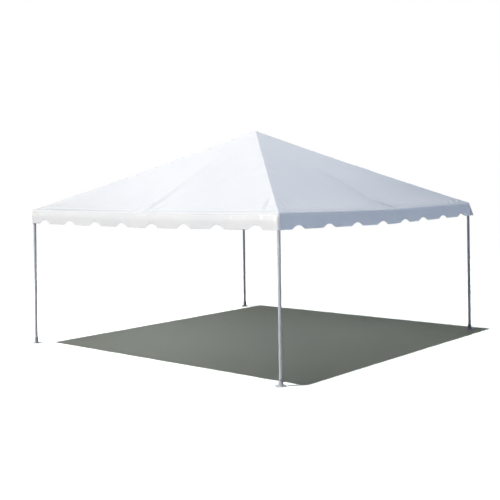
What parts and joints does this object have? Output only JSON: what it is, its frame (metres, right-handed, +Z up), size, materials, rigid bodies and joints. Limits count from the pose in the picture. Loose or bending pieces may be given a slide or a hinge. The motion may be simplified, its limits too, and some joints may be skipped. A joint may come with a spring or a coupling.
{
  "type": "frame tent",
  "caption": "Square frame tent with a hipped white fabric roof, scalloped valance and a pipe frame on slim corner legs with flat base plates.",
  "frame": {"origin": "on the ground under the peak, centre of the plan", "axes": "+Z up, front side faces -Y, right side faces +X"},
  "size_m": [6.2368, 6.2368, 4.0292],
  "materials": {
    "leg_pipe": "mill finish, satin",
    "frame_pipe": "mill finish, satin",
    "fitting_steel": "galvanised, dull",
    "base_steel": "galvanised, weathered",
    "roof_vinyl": "coated, semi-gloss white",
    "valance_vinyl": "coated, semi-gloss white"
  },
  "bodies": {
    "root": {"base_plate_back_left": "base_steel", "base_plate_back_right": "base_steel", "base_plate_front_left": "base_steel", "base_plate_front_right": "base_steel", "corner_fitting_back_left": "fitting_steel", "corner_fitting_back_right": "fitting_steel", "corner_fitting_front_left": "fitting_steel", "corner_fitting_front_right": "fitting_steel", "crown_fitting": "fitting_steel", "eave_beam_back_left": "frame_pipe", "eave_beam_back_right": "frame_pipe", "eave_beam_front_left": "frame_pipe", "eave_beam_front_right": "frame_pipe", "eave_beam_left_back": "frame_pipe", "eave_beam_left_front": "frame_pipe", "eave_beam_right_back": "frame_pipe", "eave_beam_right_front": "frame_pipe", "hip_rafter_lower_back_left": "frame_pipe", "hip_rafter_lower_back_right": "frame_pipe", "hip_rafter_lower_front_left": "frame_pipe", "hip_rafter_lower_front_right": "frame_pipe", "hip_rafter_upper_back_left": "frame_pipe", "hip_rafter_upper_back_right": "frame_pipe", "hip_rafter_upper_front_left": "frame_pipe", "hip_rafter_upper_front_right": "frame_pipe", "leg_back_left": "leg_pipe", "leg_back_right": "leg_pipe", "leg_front_left": "leg_pipe", "leg_front_right": "leg_pipe", "mid_rafter_back": "frame_pipe", "mid_rafter_front": "frame_pipe", "mid_rafter_left": "frame_pipe", "mid_rafter_right": "frame_pipe", "roof_panel_back": "roof_vinyl", "roof_panel_front": "roof_vinyl", "roof_panel_left": "roof_vinyl", "roof_panel_right": "roof_vinyl", "side_tee_back": "fitting_steel", "side_tee_front": "fitting_steel", "side_tee_left": "fitting_steel", "side_tee_right": "fitting_steel", "valance_back": "valance_vinyl", "valance_front": "valance_vinyl", "valance_left": "valance_vinyl", "valance_right": "valance_vinyl"}
  },
  "joints": []
}
